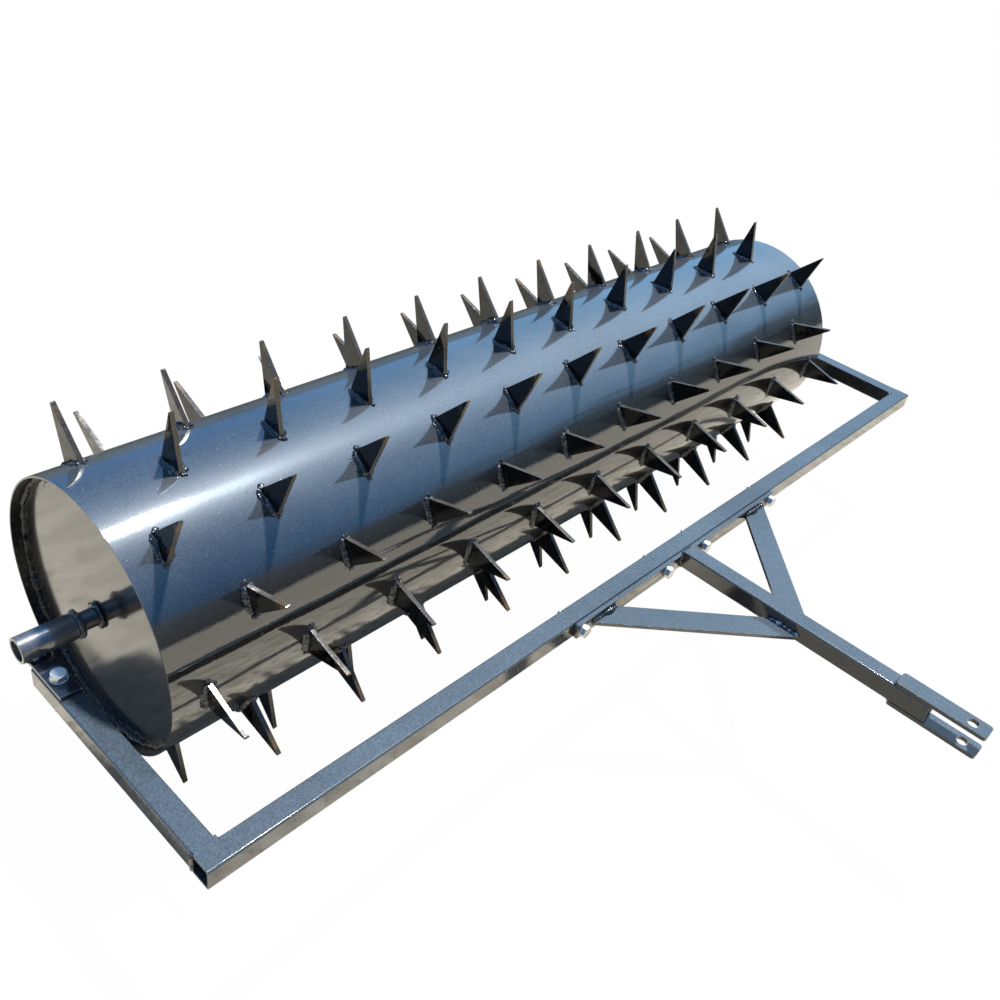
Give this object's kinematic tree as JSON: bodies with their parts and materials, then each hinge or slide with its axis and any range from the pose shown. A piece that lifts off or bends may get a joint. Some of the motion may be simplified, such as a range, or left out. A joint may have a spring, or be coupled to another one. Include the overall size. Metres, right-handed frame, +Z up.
{
  "type": "tow-behind spike drum aerator",
  "caption": "Tow-behind lawn aerator: a spiked steel drum turning on an axle in sleeves on a square-tube frame, with a braced drawbar ending in a drilled clevis.",
  "frame": {"origin": "centre of the hitch pin hole, midway between the two clevis straps", "axes": "+X along the axle, to the right of someone standing in front of the hitch and facing the drum; -Y towards the tow vehicle (the hitch end); +Z up"},
  "size_m": [1.3532, 0.8794, 0.4098],
  "materials": {
    "drum_paint": "gloss",
    "spike_paint": "gloss",
    "frame_paint": "gloss",
    "axle_steel": "machined",
    "bush_bronze": "machined",
    "zinc_plate": "bright zinc plate"
  },
  "bodies": {
    "frame": {"axle_sleeve_left": "frame_paint", "axle_sleeve_right": "frame_paint", "axle_bush_left": "bush_bronze", "axle_bush_right": "bush_bronze", "sleeve_plate_left": "frame_paint", "sleeve_plate_right": "frame_paint", "side_rail_left": "frame_paint", "side_rail_right": "frame_paint", "front_beam": "frame_paint", "plate_bolts": "zinc_plate", "plate_washers": "zinc_plate", "plate_lock_washers": "zinc_plate", "plate_nuts": "zinc_plate", "mount_bar": "frame_paint", "drawbar_tube": "frame_paint", "brace_left": "frame_paint", "brace_right": "frame_paint", "clevis_strap_top": "frame_paint", "clevis_strap_bottom": "frame_paint", "mount_bolts": "zinc_plate", "mount_washers": "zinc_plate", "mount_nuts": "zinc_plate"},
    "drum": {"drum_shell": "drum_paint", "end_plate_left": "drum_paint", "end_plate_right": "drum_paint", "axle": "axle_steel", "thrust_collar_left": "drum_paint", "thrust_collar_right": "drum_paint", "spike_row_01": "spike_paint", "spike_row_02": "spike_paint", "spike_row_03": "spike_paint", "spike_row_04": "spike_paint", "spike_row_05": "spike_paint", "spike_row_06": "spike_paint", "spike_row_07": "spike_paint", "spike_row_08": "spike_paint", "spike_row_09": "spike_paint", "spike_row_10": "spike_paint", "spike_row_11": "spike_paint", "spike_row_12": "spike_paint"}
  },
  "joints": [
    {"name": "drum_spin", "type": "hinge", "parent": "frame", "child": "drum", "pos_m": [0, 0.6559, 0.0236], "axis": [1, 0, 0], "continuous": true}
  ]
}
